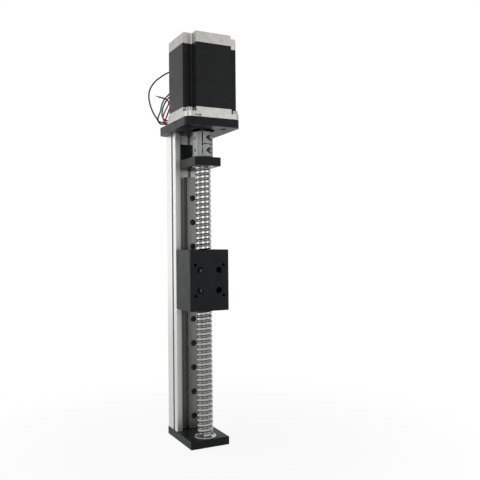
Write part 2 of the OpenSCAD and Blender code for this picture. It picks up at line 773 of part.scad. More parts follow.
module shaft_coupling() {
  slit = 1.2;
  cut = 0.8;
  cut_back = 2.5;                           // how far behind the axis the cut ends
  color("#9b9da0")
  difference() {
    translate([0, 0, coupling_z]) rotate_extrude($fn = 96)
      bevel_rect(0, 0, coupling_d / 2, coupling_len, 0.4);
    translate([0, 0, coupling_z - 1]) cylinder(d = journal_d + 2 * seat, h = coupling_len / 2 + 1, $fn = 96);
    translate([0, 0, coupling_mid - eps]) cylinder(d = motor_shaft_d + 2 * seat, h = coupling_len, $fn = 96);
    rotate([0, 0, coupling_turn]) {
      // clamp slit along the front and the cut between the two halves
      translate([-slit / 2, -coupling_d, coupling_z - 1]) cube([slit, coupling_d, coupling_len + 2]);
      translate([0, -coupling_d, coupling_mid - cut / 2]) cube([coupling_d, coupling_d + cut_back, cut]);
    }
    at_clamps() {
      cylinder(d = head_d(clamp_screw_d) + 2 * head_gap, h = coupling_d, $fn = 48);
      translate([0, 0, -coupling_d])
        cylinder(d = clamp_screw_d + 2 * thread_gap, h = coupling_d + 1, $fn = 48);
    }
  }
}

module coupling_screws() {
  color("dimgray") at_clamps() cap_screw(clamp_screw_d, clamp_screw_len);
}

module motor_shaft() {
  r = motor_shaft_d / 2;
  top = motor_bearing_z[1] + motor_bearing[2] - 0.2;
  collar_z = motor_bearing_z[0] + motor_bearing[2];
  flat = 0.5;
  color("silver")
  difference() {
    rotate_extrude($fn = 96)
      polygon([[0, shaft_z], [r - 0.5, shaft_z], [r, shaft_z + 0.5],
        [r, collar_z], [r + 1.5, collar_z], [r + 1.5, motor_bearing_z[1]],
        [r, motor_bearing_z[1]], [r, top], [0, top]]);
    rotate([0, 0, coupling_turn]) translate([-10, r - flat, shaft_z - 1]) cube([20, 5, 16]);
  }
}

// two laminated cups with the magnet between them
module motor_rotor() {
  z0 = stator_z + chamber_len + 1.5;
  z1 = rear_z - chamber_len - 1.5;
  mid = (z0 + z1) / 2;
  r0 = motor_shaft_d / 2 + 1.5 + seat;
  r1 = rotor_d / 2;
  r2 = r1 - min(1, (r1 - r0) / 2);          // magnet, its step limited by the wall
  color("gray")
  rotate_extrude($fn = 96)
    polygon([[r0, z0], [r1, z0], [r1, mid - 1.5], [r2, mid - 1.5],
      [r2, mid + 1.5], [r1, mid + 1.5], [r1, z1], [r0, z1]]);
}

module motor_bearing_inner_rings() {
  color("silver") for (z = motor_bearing_z) translate([0, 0, z]) inner_ring(motor_bearing);
}

// ================================================= carriage

// places on the carriage's front face
module at_face(pitch, y) {
  for (sx = [-1, 1], sz = [-1, 1])
    translate([sx * pitch / 2, y, carriage_mid + sz * pitch / 2]) facing_front() children();
}

module at_nut_screws() {
  for (sx = [-1, 1], sy = [-1, 1])
    translate([sx * nut_screw_x, sy * nut_screw_y, nut_z + nut_screw_d + head_sink])
      rotate([180, 0, 0]) children();
}

// outline of the nut's flange: a disc with its front and back cut flat
module nut_flange_outline(extra) {
  intersection() {
    circle(d = nut_flange_d + 2 * extra, $fn = 96);
    square([nut_flange_d * 2, 2 * (nut_flat + extra)], center = true);
  }
}

module carriage_block() {
  bore_top = nut_z + nut_len + 1;
  color("#232527")
  difference() {
    bevel_block(-carriage_w / 2, carriage_y, carriage_z,
      carriage_w / 2, guide_y, carriage_z + carriage_len, edge);
    translate([0, 0, carriage_z - 1]) cylinder(d = screw_d + 4, h = carriage_len + 2, $fn = 96);
    translate([0, 0, carriage_z - 1])
      cylinder(d = nut_body_d + 2 * nut_fit, h = bore_top - carriage_z + 1, $fn = 96);
    translate([0, 0, carriage_z - 1])
      linear_extrude(nut_z - carriage_z + nut_flange_t + 1) nut_flange_outline(nut_fit);
    at_nut_screws() translate([0, 0, -nut_screw_len - 1])
      cylinder(d = nut_screw_d + 2 * thread_gap, h = nut_screw_len, $fn = 32);
    at_face(load_pitch, carriage_y + load_depth) cylinder(d = load_hole_d, h = load_depth + 1, $fn = 48);
    at_face(guide_pitch, guide_seat_y) {
      cylinder(d = access_d, h = 80, $fn = 48);
      translate([0, 0, -10]) cylinder(d = guide_screw_d + 2 * screw_hole, h = 11, $fn = 48);
    }
  }
}

// guide block's outline round the rail
module guide_outline(inset, rail_clear) {
  difference() {
    bevel_rect(-guide_w / 2 + inset, guide_y + inset,
      guide_w / 2 - inset, floor_y - guide_under - inset, 0.8);
    translate([-rail_w / 2 - rail_clear, rail_y - rail_clear])
      square([rail_w + 2 * rail_clear, rail_h + 1]);
    for (s = [-1, 1])
      translate([s * guide_ball_x, guide_ball_y]) circle(r = guide_groove_r, $fn = 48);
  }
}

module guide_block() {
  color("lightsteelblue")
  difference() {
    translate([0, 0, carriage_mid - guide_len / 2]) linear_extrude(guide_len) guide_outline(0, run_gap);
    at_face(guide_pitch, guide_seat_y) translate([0, 0, -guide_screw_len - 0.2])
      cylinder(d = guide_screw_d + 2 * thread_gap, h = guide_screw_len, $fn = 48);
    at_cap_screws() translate([0, 0, -cap_len - seal_len - 4.5])
      cylinder(d = cap_screw_d + 2 * thread_gap, h = 6, $fn = 32);
  }
}

// the two rows of balls that run in the rail's grooves
module guide_block_balls() {
  n = floor((guide_len - guide_ball_d) / guide_ball_pitch);
  color("gainsboro")
  for (s = [-1, 1], i = [0 : n])
    translate([s * guide_ball_x, guide_ball_y, carriage_mid + (i - n / 2) * guide_ball_pitch])
      sphere(d = guide_ball_d, $fn = 32);
}

// the small screws that hold the end caps, head underside outside the seal
module at_cap_screws() {
  z = guide_len / 2 + cap_len + seal_len;
  for (sx = [-1, 1], up = [0, 180])
    translate([sx * (guide_w / 2 - 3.2), guide_y + 5.2, carriage_mid]) rotate([up, 0, 0])
      translate([0, 0, z]) children();
}

// the same piece at both ends of the guide block, a distance out from it
module at_guide_ends(out) {
  for (s = [-1, 1]) translate([0, 0, carriage_mid]) mirror([0, 0, s > 0 ? 0 : 1])
    translate([0, 0, guide_len / 2 + out]) children();
}

module guide_block_end_caps() {
  color("#1f6f54")
  difference() {
    at_guide_ends(0) linear_extrude(cap_len) guide_outline(0.2, run_gap + 0.1);
    at_cap_screws() translate([0, 0, -20]) cylinder(d = cap_screw_d + 0.3, h = 25, $fn = 32);
  }
}

module guide_block_seals() {
  color("#151515")
  difference() {
    at_guide_ends(cap_len) linear_extrude(seal_len) guide_outline(0.5, run_gap);
    at_cap_screws() translate([0, 0, -20]) cylinder(d = cap_screw_d + 0.3, h = 25, $fn = 32);
  }
}

module guide_block_cap_screws() {
  color("silver") at_cap_screws() cap_screw(cap_screw_d, cap_len + seal_len + 4);
}

module guide_block_screws() {
  color("dimgray") at_face(guide_pitch, guide_seat_y) cap_screw(guide_screw_d, guide_screw_len);
}

module ball_nut() {
  recess = 2.2;
  color("silver")
  difference() {
    union() {
      translate([0, 0, nut_z]) linear_extrude(nut_flange_t) nut_flange_outline(0);
      translate([0, 0, nut_z + nut_flange_t - eps])
        rotate_extrude($fn = 96) bevel_rect(nut_bore_d / 2, 0, nut_body_d / 2, nut_len - nut_flange_t, 0.4);
    }
    translate([0, 0, nut_z - 1]) cylinder(d = nut_bore_d, h = nut_len + 2, $fn = 96);
    for (z = [nut_z - 1, nut_z + nut_len - recess])
      translate([0, 0, z]) cylinder(d = nut_body_d - 4, h = recess + 1, $fn = 96);
    at_nut_screws() screw_cut(nut_screw_d, nut_flange_t, 2 * nut_screw_d);
  }
}

// plastic wipers in both ends of the nut
module ball_nut_wipers() {
  color("whitesmoke")
  for (z = [nut_z + 0.1, nut_z + nut_len - 2.1]) translate([0, 0, z]) difference() {
    cylinder(d = nut_body_d - 4 - 0.1, h = 2, $fn = 96);
    translate([0, 0, -1]) cylinder(d = nut_bore_d, h = 4, $fn = 96);
  }
}

module ball_nut_screws() {
  color("dimgray") at_nut_screws() cap_screw(nut_screw_d, nut_screw_len);
}

// ================================================= drawing

base_profile();
guide_rail();
rail_screws();
rail_nuts();
end_plate();
end_plate_screws();
bearing_block();
bearing_block_screws();
bearing_block_nut();
screw_bearing_outer_rings();
screw_bearing_balls();
screw_bearing_shields();
motor_plate();
motor_plate_screws();
motor_flange();
motor_stator();
motor_windings();
motor_rear_cap();
motor_tie_screws();
motor_screws();
motor_bearing_outer_rings();
motor_bearing_balls();
lead_grommet();
lead_black();
lead_green();
lead_red();
lead_red_end();
lead_blue();
lead_hank();
lead_tie();
ball_screw();
screw_bearing_inner_rings();
screw_spacer();
shaft_coupling();
coupling_screws();
motor_shaft();
motor_rotor();
motor_bearing_inner_rings();
carriage_block();
guide_block();
guide_block_balls();
guide_block_end_caps();
guide_block_seals();
guide_block_cap_screws();
guide_block_screws();
ball_nut();
ball_nut_wipers();
ball_nut_screws();
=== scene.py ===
import math

import bpy
from bpy.props import (FloatProperty, FloatVectorProperty, IntProperty,
                       PointerProperty)
from mathutils import Matrix, Vector


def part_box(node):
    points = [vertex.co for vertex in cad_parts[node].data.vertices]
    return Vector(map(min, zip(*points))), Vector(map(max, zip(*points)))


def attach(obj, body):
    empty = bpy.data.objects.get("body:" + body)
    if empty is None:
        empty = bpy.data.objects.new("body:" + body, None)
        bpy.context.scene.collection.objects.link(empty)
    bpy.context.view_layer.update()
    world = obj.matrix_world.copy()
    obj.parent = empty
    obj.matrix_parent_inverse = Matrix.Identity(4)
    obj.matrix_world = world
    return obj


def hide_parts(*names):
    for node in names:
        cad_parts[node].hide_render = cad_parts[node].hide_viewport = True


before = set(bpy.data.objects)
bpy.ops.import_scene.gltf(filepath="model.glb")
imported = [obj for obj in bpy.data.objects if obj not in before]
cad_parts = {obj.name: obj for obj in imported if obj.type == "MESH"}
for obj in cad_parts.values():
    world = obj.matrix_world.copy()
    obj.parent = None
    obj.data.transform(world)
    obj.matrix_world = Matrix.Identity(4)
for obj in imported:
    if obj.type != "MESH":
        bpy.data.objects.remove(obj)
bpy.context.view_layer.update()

bl_info = {
    "name": "Ball screw linear module",
    "version": (1, 0, 0),
    "blender": (4, 5, 0),
    "location": "3D View > Sidebar > Linear module",
    "description": "Threaded screw, leads and finishes of a ball screw linear module",
    "category": "Object",
}

MM = 0.001
LAMINATION = 0.5 * MM            # thickness of the motor's sheets
PLATE_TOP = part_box("motor_plate")[1][2]
SCREW_LOW, SCREW_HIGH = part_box("ball_screw")


# ------------------------------------------------------------------ settings

class StageSettings(bpy.types.PropertyGroup):
    floor_colour: FloatVectorProperty(
        name="Floor", description="Colour of the floor", subtype="COLOR",
        size=3, min=0, max=1, default=(0.92, 0.92, 0.92))
    room_light: FloatProperty(
        name="Room light", description="Strength of the light from all round",
        min=0, max=3, default=0.55)
    lamp_level: FloatProperty(
        name="Lamps", description="Brightness of the soft lamps",
        min=0, max=20, default=3.3)


class ScrewSettings(bpy.types.PropertyGroup):
    lead: FloatProperty(
        name="Lead", description="Travel of the nut for one turn",
        unit="LENGTH", min=0.002, max=0.02, default=5 * MM)
    groove_radius: FloatProperty(
        name="Groove radius", description="Radius of the ball groove",
        unit="LENGTH", min=0.0005, max=0.004, default=1.72 * MM)
    groove_depth: FloatProperty(
        name="Groove depth", description="Depth of the ball groove",
        unit="LENGTH", min=0.0002, max=0.003, default=1.15 * MM)
    steps: IntProperty(
        name="Steps per turn", description="Facets in one turn of the thread",
        min=24, max=96, default=60)


class LeadSettings(bpy.types.PropertyGroup):
    diameter: FloatProperty(
        name="Diameter", description="Outside diameter of one lead",
        unit="LENGTH", min=0.001, max=0.003, default=1.6 * MM)
    length: FloatProperty(
        name="Length", description="Length of one lead",
        unit="LENGTH", min=0.1, max=1, default=300 * MM)


class FinishSettings(bpy.types.PropertyGroup):
    profile_colour: FloatVectorProperty(
        name="Profile", description="Clear anodised aluminium",
        subtype="COLOR", size=3, min=0, max=1, default=(0.60, 0.605, 0.595))
    block_colour: FloatVectorProperty(
        name="Blocks and plates", description="Black anodised aluminium",
        subtype="COLOR", size=3, min=0, max=1, default=(0.0125, 0.0135, 0.0145))
    coupling_colour: FloatVectorProperty(
        name="Coupling", description="Grey anodised aluminium",
        subtype="COLOR", size=3, min=0, max=1, default=(0.27, 0.275, 0.27))
    casting_colour: FloatVectorProperty(
        name="Motor caps", description="Machined die casting",
        subtype="COLOR", size=3, min=0, max=1, default=(0.43, 0.425, 0.40))
    stator_colour: FloatVectorProperty(
        name="Stator", description="Black paint on the laminations",
        subtype="COLOR", size=3, min=0, max=1, default=(0.012, 0.0125, 0.0135))
    red_colour: FloatVectorProperty(
        name="Red lead", description="Insulation of the red lead",
        subtype="COLOR", size=3, min=0, max=1, default=(0.38, 0.045, 0.05))
    green_colour: FloatVectorProperty(
        name="Green lead", description="Insulation of the green lead",
        subtype="COLOR", size=3, min=0, max=1, default=(0.02, 0.17, 0.13))
    blue_colour: FloatVectorProperty(
        name="Blue lead", description="Insulation of the blue lead",
        subtype="COLOR", size=3, min=0, max=1, default=(0.02, 0.13, 0.24))


# ------------------------------------------------------------------ modelling

def nothing_selected():
    """Leaves edit mode and deselects every object."""
    if bpy.context.object and bpy.context.object.mode != "OBJECT":
        bpy.ops.object.mode_set(mode="OBJECT")
    bpy.ops.object.select_all(action="DESELECT")


def pick(piece):
    nothing_selected()
    piece.select_set(True)
    bpy.context.view_layer.objects.active = piece


def finished(piece, name, body, material):
    """Names a modelled piece, sets its place in its mesh and its finish."""
    pick(piece)
    bpy.ops.object.transform_apply(location=True, rotation=True, scale=True)
    piece.name = name
    piece.data.name = name
    piece.data.materials.clear()
    piece.data.materials.append(material)
    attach(piece, body)
    return piece


def apply_modifiers(piece):
    pick(piece)
    for modifier in list(piece.modifiers):
        bpy.ops.object.modifier_apply(modifier=modifier.name)


def turned(steps, sides):
    """A turned part on the z axis. steps is a list of (z, radius)."""
    nothing_selected()
    z, r = steps[0]
    bpy.ops.mesh.primitive_circle_add(vertices=sides, radius=r, fill_type="NGON",
                                      location=(0, 0, z))
    piece = bpy.context.object
    bpy.ops.object.transform_apply(location=True, rotation=True, scale=True)
    bpy.ops.object.mode_set(mode="EDIT")
    bpy.ops.mesh.select_all(action="SELECT")
    for z2, r2 in steps[1:]:
        bpy.ops.mesh.extrude_region_move(TRANSFORM_OT_translate={"value": (0, 0, z2 - z)})
        bpy.ops.transform.resize(value=(r2 / r, r2 / r, 1), center_override=(0, 0, z2))
        z, r = z2, r2
    bpy.ops.mesh.select_all(action="SELECT")
    bpy.ops.mesh.normals_make_consistent(inside=False)
    bpy.ops.object.mode_set(mode="OBJECT")
    bpy.ops.object.shade_smooth_by_angle(angle=math.radians(30))
    return piece


# ------------------------------------------------------------------ shader nodes

def math_node(tree, operation, a, b=None):
    """Joins one or two values. b is a number, an output or nothing."""
    node = tree.nodes.new("ShaderNodeMath")
    node.operation = operation
    tree.links.new(a, node.inputs[0])
    if isinstance(b, float):
        node.inputs[1].default_value = b
    elif b is not None:
        tree.links.new(b, node.inputs[1])
    return node.outputs[0]


def length_node(tree, vector):
    node = tree.nodes.new("ShaderNodeVectorMath")
    node.operation = "LENGTH"
    tree.links.new(vector, node.inputs[0])
    return node.outputs["Value"]


def range_node(tree, value, start, end, low, high, smooth=False):
    """Turns start to end into low to high, and stops at both."""
    node = tree.nodes.new("ShaderNodeMapRange")
    if smooth:
        node.interpolation_type = "SMOOTHSTEP"
    node.inputs["From Min"].default_value = start
    node.inputs["From Max"].default_value = end
    node.inputs["To Min"].default_value = low
    node.inputs["To Max"].default_value = high
    tree.links.new(value, node.inputs["Value"])
    return node.outputs["Result"]


def seen_rays(tree):
    """1 for what the camera, a reflection or clear glass sees, else 0."""
    ray = tree.nodes.new("ShaderNodeLightPath")
    seen = ray.outputs["Is Camera Ray"]
    for kind in ("Is Glossy Ray", "Is Transmission Ray"):
        seen = math_node(tree, "MAXIMUM", seen, ray.outputs[kind])
    return seen


# ------------------------------------------------------------------ finishes

NOISE_LOW, NOISE_HIGH = 0.3, 0.7     # most of a noise texture lies between these


class Finish:
    """A material built node by node on its Principled shader."""

    def __init__(self, name, colour, rough, metal=0.0, **sockets):
        self.material = bpy.data.materials.new(name)
        self.material.use_nodes = True
        self.tree = self.material.node_tree
        self.nodes = self.tree.nodes
        self.links = self.tree.links
        self.shader = self.nodes["Principled BSDF"]
        self.colour = tuple(colour)
        self.shader.inputs["Base Color"].default_value = (*colour, 1)
        self.shader.inputs["Roughness"].default_value = rough
        self.shader.inputs["Metallic"].default_value = metal
        for socket, value in sockets.items():
            self.shader.inputs[socket.replace("_", " ")].default_value = value
        self.place = self.nodes.new("ShaderNodeTexCoord")
        self.last_bump = None

    def mapped(self, scale):
        mapping = self.nodes.new("ShaderNodeMapping")
        mapping.inputs["Scale"].default_value = scale
        self.links.new(self.place.outputs["Object"], mapping.inputs["Vector"])
        return mapping.outputs["Vector"]

    def noise(self, scale, detail=3.0):
        noise = self.nodes.new("ShaderNodeTexNoise")
        noise.inputs["Scale"].default_value = 1.0
        noise.inputs["Detail"].default_value = detail
        noise.inputs["Roughness"].default_value = 0.55
        self.links.new(self.mapped(scale), noise.inputs["Vector"])
        return noise.outputs["Fac"]

    def lines(self, pitch):
        """Straight fine lines across the z axis, a pitch apart."""
        wave = self.nodes.new("ShaderNodeTexWave")
        wave.bands_direction = "Z"
        wave.inputs["Scale"].default_value = 1.0
        wave.inputs["Distortion"].default_value = 0.0
        # a wave at scale 1 has a period of pi / 10
        k = math.pi / 10 / pitch
        self.links.new(self.mapped((k, k, k)), wave.inputs["Vector"])
        return wave.outputs["Fac"]

    def tint(self, value, dark=0.8, light=1.1, start=NOISE_LOW, end=NOISE_HIGH):
        """Varies the colour between two strengths of itself."""
        mix = self.nodes.new("ShaderNodeMix")
        mix.data_type = "RGBA"
        mix.inputs["A"].default_value = (*[min(1, c * dark) for c in self.colour], 1)
        mix.inputs["B"].default_value = (*[min(1, c * light) for c in self.colour], 1)
        self.links.new(range_node(self.tree, value, start, end, 0, 1), mix.inputs["Factor"])
        self.links.new(mix.outputs["Result"], self.shader.inputs["Base Color"])
        return self

    def gloss(self, value, low, high):
        """Varies the roughness between two values."""
        rough = range_node(self.tree, value, NOISE_LOW, NOISE_HIGH, low, high)
        self.links.new(rough, self.shader.inputs["Roughness"])
        return self

    def bump(self, value, distance, strength=1.0):
        bump = self.nodes.new("ShaderNodeBump")
        bump.inputs["Strength"].default_value = strength
        bump.inputs["Distance"].default_value = distance
        self.links.new(value, bump.inputs["Height"])
        if self.last_bump:
            self.links.new(self.last_bump, bump.inputs["Normal"])
        self.links.new(bump.outputs["Normal"], self.shader.inputs["Normal"])
        self.last_bump = bump.outputs["Normal"]
        return self


def clear_anodised(colour, channel_half, channel_floor):
    """Clear anodised with fine die lines in its gloss and bumps; the colour is painted darker inside
    the channel, as painted shade in the recess.
    """
    f = Finish("clear_anodised", colour, 0.34, 0.9)
    place = f.nodes.new("ShaderNodeSeparateXYZ")
    f.links.new(f.place.outputs["Object"], place.inputs[0])
    near, far = 0.1 * MM, 0.2 * MM      # just inside the metal of the channel's faces
    across = math_node(f.tree, "ABSOLUTE", place.outputs["X"])
    beside = range_node(f.tree, across, channel_half + near, channel_half + far, 0, 1)
    behind = range_node(f.tree, place.outputs["Y"], channel_floor + near, channel_floor + far, 0, 1)
    # 0 inside the channel, where the colour is painted darker as painted shade, and 1 elsewhere
    outside_painted_shade = math_node(f.tree, "MAXIMUM", beside, behind)
    die_lines = f.noise((900, 900, 3), 4)
    return (f.tint(outside_painted_shade, 0.6, 1.0, 0, 1).gloss(die_lines, 0.28, 0.42)
            .bump(die_lines, 0.00003).material)


def black_anodised(colour):
    f = Finish("black_anodised", colour, 0.36, 0.0, Specular_IOR_Level=0.08)
    blast = f.noise((2600, 2600, 2600), 2)
    return (f.tint(f.noise((60, 60, 60), 5), 0.8, 1.35)
            .gloss(f.noise((90, 90, 90), 4), 0.31, 0.42).bump(blast, 0.00002, 0.4).material)


def ground_steel(name="ground_steel", colour=(0.50, 0.505, 0.50), rough=0.2, grain=(500, 500, 3000)):
    f = Finish(name, colour, rough, 1.0)
    grind = f.noise(grain, 3)
    return (f.tint(f.noise((80, 80, 80)), 0.9, 1.06).gloss(grind, rough * 0.8, rough * 1.35)
            .bump(grind, 0.000008).material)


def thread_steel(radius, depth):
    """Ground lands, and the ball track painted darker as painted shade in the groove."""
    f = Finish("thread_steel", (0.40, 0.40, 0.385), 0.16, 1.0)
    from_axis = length_node(f.tree, f.mapped((1, 1, 0)))
    # the groove drops to 0.36 of the lands' colour: painted shade, darker towards the axis
    f.tint(from_axis, 0.36, 1.0, radius - 0.5 * depth, radius - 0.08 * depth)
    grind = f.noise((300, 300, 2500), 3)
    return f.gloss(grind, 0.12, 0.2).bump(grind, 0.000006).material


def rail_steel(half_width):
    """Ground top, and flanks painted darker as painted shade along the rail's sides."""
    f = Finish("rail_steel", (0.135, 0.136, 0.130), 0.3, 1.0)
    from_middle = length_node(f.tree, f.mapped((1, 0, 0)))
    # the flanks drop to 0.3 of the top's colour: painted shade along the rail's sides
    f.tint(from_middle, 1.0, 0.3, half_width - 0.3 * MM, half_width - 0.1 * MM)
    grind = f.noise((900, 900, 40), 3)
    return f.gloss(grind, 0.24, 0.4).bump(grind, 0.000008).material


def zinc_steel():
    f = Finish("zinc_steel", (0.66, 0.67, 0.68), 0.3, 1.0)
    return (f.tint(f.noise((300, 300, 300), 4), 0.85, 1.08)
            .gloss(f.noise((600, 600, 600)), 0.22, 0.38).material)


def black_steel():
    f = Finish("black_oxide_steel", (0.012, 0.012, 0.013), 0.38, 0.0, Specular_IOR_Level=0.25)
    return (f.tint(f.noise((400, 400, 400), 4), 0.7, 1.5)
            .gloss(f.noise((500, 500, 500)), 0.3, 0.48).material)


def grey_anodised(colour):
    f = Finish("grey_anodised", colour, 0.5, 0.6)
    turning = f.noise((60, 60, 5200), 2)
    return (f.tint(f.noise((120, 120, 120)), 0.93, 1.07).gloss(turning, 0.44, 0.56)
            .bump(turning, 0.00001).material)


def cast_cap(colour):
    f = Finish("machined_casting", colour, 0.4, 0.95)
    mill = f.noise((1500, 1500, 60), 3)
    return (f.tint(f.noise((140, 140, 140), 4), 0.86, 1.08).gloss(mill, 0.33, 0.48)
            .bump(mill, 0.000012).material)


def stator_paint(colour):
    f = Finish("stator_paint", colour, 0.36, 0.0, Specular_IOR_Level=0.11)
    return (f.tint(f.noise((70, 70, 300), 3), 0.85, 1.2).gloss(f.noise((60, 60, 200)), 0.33, 0.39)
            .bump(f.lines(LAMINATION), 0.000006, 0.3).material)


def moulded(name, colour, rough=0.5):
    f = Finish(name, colour, rough)
    shine = f.noise((700, 700, 700))
    return (f.tint(f.noise((250, 250, 250), 4), 0.85, 1.15).gloss(shine, rough * 0.85, rough * 1.2)
            .bump(f.noise((1800, 1800, 1800)), 0.00002, 0.5).material)


def copper_wire():
    f = Finish("enamelled_copper", (0.62, 0.26, 0.10), 0.3, 0.9)
    return f.tint(f.noise((400, 400, 400)), 0.8, 1.1).bump(f.lines(0.6 * MM), 0.0001).material


def tinned_strands():
    f = Finish("tinned_strands", (0.55, 0.42, 0.33), 0.35, 0.95)
    strands = f.noise((2500, 2500, 2500), 2)
    return f.tint(strands, 0.7, 1.15).bump(strands, 0.00004).material


def rotor_iron():
    f = Finish("rotor_laminations", (0.22, 0.22, 0.23), 0.4, 0.9)
    return f.tint(f.noise((90, 90, 800)), 0.85, 1.1).bump(f.lines(LAMINATION), 0.00003).material


# ------------------------------------------------------------------ stage

CAMERA_AT = (-0.2510, -0.5751, 0.2005)
CAMERA_TURN = -26.9      # degrees about z, from looking along +Y
CAMERA_PITCH = 0.2
CAMERA_ROLL = 0.5
CAMERA_LENS = 47.1
MIDDLE_Z = 0.2
# name, degrees round from the front towards the left, distance, height of
# the middle, width, height, brightness beside the others
SOFTBOXES = [
    ("left_softbox", 108, 1.1, 0.34, 0.45, 0.9, 0.66),
    ("camera_softbox", 30, 1.5, 0.47, 0.70, 0.9, 0.62),
    ("right_softbox", -36, 1.3, 0.30, 0.40, 0.9, 0.7),
    ("rear_softbox", 160, 1.4, 0.24, 0.90, 0.9, 0.18),
]
# each is a place's range, then what it becomes
ROOM_SIDE = (0.85, -0.95, 0.35, 1.5)     # from the right to the left
ROOM_DEPTH = (-0.9, 0.2, 0.5, 1.0)       # from the front to the back
FLOOR_FADE = (0.05, 0.35, 0.9, 1.0)      # metres from the middle, share of white


class MODULE_OT_stage(bpy.types.Operator):
    """Floor, room light, lamps and the camera"""
    bl_idname = "module.stage"
    bl_label = "Stage"

    def execute(self, context):
        stage = context.scene.module_stage
        self.camera(context)
        self.room(context, stage)
        for softbox in SOFTBOXES:
            self.softbox(*softbox, stage.lamp_level)
        self.floor(stage)
        view = context.scene.view_settings
        view.view_transform = "Standard"
        return {"FINISHED"}

    def camera(self, context):
        data = bpy.data.cameras.new("camera")
        data.lens = CAMERA_LENS
        data.sensor_width = 36
        data.clip_start = 0.01
        camera = bpy.data.objects.new("camera", data)
        context.scene.collection.objects.link(camera)
        turn = (Matrix.Rotation(math.radians(CAMERA_TURN), 4, "Z")
                @ Matrix.Rotation(math.radians(90 + CAMERA_PITCH), 4, "X")
                @ Matrix.Rotation(math.radians(-CAMERA_ROLL), 4, "Z"))
        camera.matrix_world = Matrix.Translation(CAMERA_AT) @ turn
        context.scene.camera = camera

    def room(self, context, stage):
        """A pale room, brighter on the left and behind than in front."""
        world = context.scene.world or bpy.data.worlds.new("room")
        context.scene.world = world
        world.use_nodes = True
        tree = world.node_tree
        tree.nodes.clear()
        where = tree.nodes.new("ShaderNodeTexCoord")
        split = tree.nodes.new("ShaderNodeSeparateXYZ")
        tree.links.new(where.outputs["Generated"], split.inputs[0])
        side = range_node(tree, split.outputs["X"], *ROOM_SIDE)
        depth = range_node(tree, split.outputs["Y"], *ROOM_DEPTH)
        both = math_node(tree, "MULTIPLY", side, depth)
        level = math_node(tree, "MULTIPLY", both, stage.room_light)
        room = tree.nodes.new("ShaderNodeBackground")
        tree.links.new(level, room.inputs["Strength"])
        plain = tree.nodes.new("ShaderNodeBackground")
        plain.inputs["Color"].default_value = (1, 1, 1, 1)
        out = tree.nodes.new("ShaderNodeOutputWorld")
        self.mixed(tree, seen_rays(tree), room, plain, out)

    def mixed(self, tree, share, first, second, out):
        """Sends a mix of two shaders to the output."""
        mix = tree.nodes.new("ShaderNodeMixShader")
        tree.links.new(share, mix.inputs["Fac"])
        tree.links.new(first.outputs[0], mix.inputs[1])
        tree.links.new(second.outputs[0], mix.inputs[2])
        tree.links.new(mix.outputs[0], out.inputs["Surface"])

    def softbox(self, name, azimuth, distance, z, width, height, share, level):
        """A tall soft lamp that looks at the middle of the module."""
        data = bpy.data.lights.new(name, "AREA")
        data.shape = "RECTANGLE"
        data.size = width
        data.size_y = height
        data.energy = math.pi * width * height * level * share
        lamp = bpy.data.objects.new(name, data)
        bpy.context.scene.collection.objects.link(lamp)
        turn = math.radians(azimuth)
        lamp.location = (-distance * math.sin(turn), -distance * math.cos(turn), z)
        look = Vector((0, 0, MIDDLE_Z)) - lamp.location
        lamp.rotation_euler = look.to_track_quat("-Z", "Y").to_euler()

    def floor(self, stage):
        nothing_selected()
        bpy.ops.mesh.primitive_plane_add(size=12, location=(0, 0, 0))
        floor = bpy.context.object
        floor.name = "floor"
        material = bpy.data.materials.new("floor")
        material.use_nodes = True
        tree = material.node_tree
        shader = tree.nodes["Principled BSDF"]
        shader.inputs["Base Color"].default_value = (*stage.floor_colour, 1)
        shader.inputs["Roughness"].default_value = 0.9
        shader.inputs["Specular IOR Level"].default_value = 0.1
        # far from the object the floor runs into the white background
        plain = tree.nodes.new("ShaderNodeEmission")
        place = tree.nodes.new("ShaderNodeTexCoord")
        away = length_node(tree, place.outputs["Object"])
        fade = range_node(tree, away, *FLOOR_FADE, smooth=True)
        seen = math_node(tree, "MULTIPLY", fade, seen_rays(tree))
        self.mixed(tree, seen, shader, plain, tree.nodes["Material Output"])
        floor.data.materials.append(material)


# ------------------------------------------------------------------ leads
# centre lines in millimetres, heights above the motor plate

